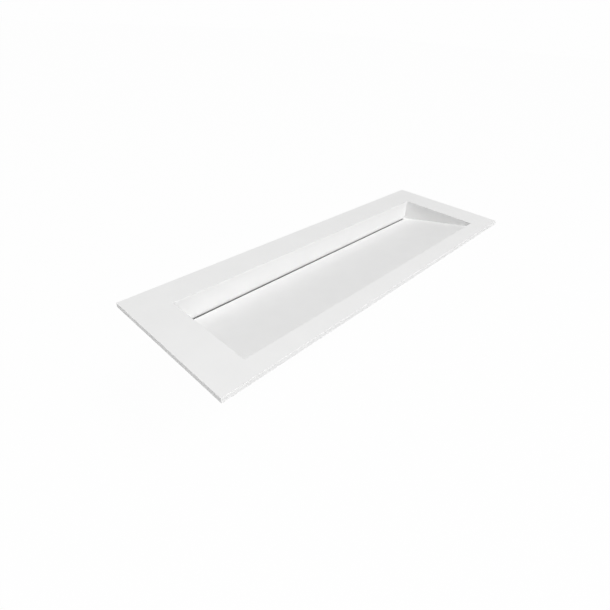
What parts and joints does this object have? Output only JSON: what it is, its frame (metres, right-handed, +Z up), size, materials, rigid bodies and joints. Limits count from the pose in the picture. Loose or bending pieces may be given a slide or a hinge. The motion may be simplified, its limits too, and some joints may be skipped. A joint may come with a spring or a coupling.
{
  "type": "washbasin",
  "caption": "Long rectangular washbasin of thin white solid-surface sheet, with a ramp that falls to a slot along the foot of its back wall and a hidden channel and waste below",
  "frame": {"origin": "middle of the fixing plane, the underside of the battens, at the centre of the four inserts", "axes": "X along the length to the right, Y from the front edge to the back edge, Z up"},
  "size_m": [1.4, 0.46, 0.2045],
  "materials": {
    "solid_surface": "mineral-filled acrylic, sanded matt",
    "plywood": "sealed birch plywood",
    "brass": "turned",
    "chromed_brass": "polished",
    "stainless_steel": "brushed",
    "rubber": "matt",
    "nylon": "matt"
  },
  "bodies": {
    "root": {"top_sheet": "solid_surface", "ramp_panel": "solid_surface", "back_wall": "solid_surface", "left_wall": "solid_surface", "right_wall": "solid_surface", "channel_front": "solid_surface", "channel_back": "solid_surface", "channel_floor_left": "solid_surface", "channel_floor_right": "solid_surface", "outlet_block": "solid_surface", "corner_gussets": "solid_surface", "front_batten": "plywood", "back_batten": "plywood", "left_batten": "plywood", "right_batten": "plywood", "fixing_inserts": "brass", "ring_nut": "brass", "waste_body": "chromed_brass", "strainer_plate": "stainless_steel", "strainer_screw": "stainless_steel", "flange_seal": "rubber", "lower_seal": "rubber", "slip_washer": "nylon"}
  },
  "joints": []
}
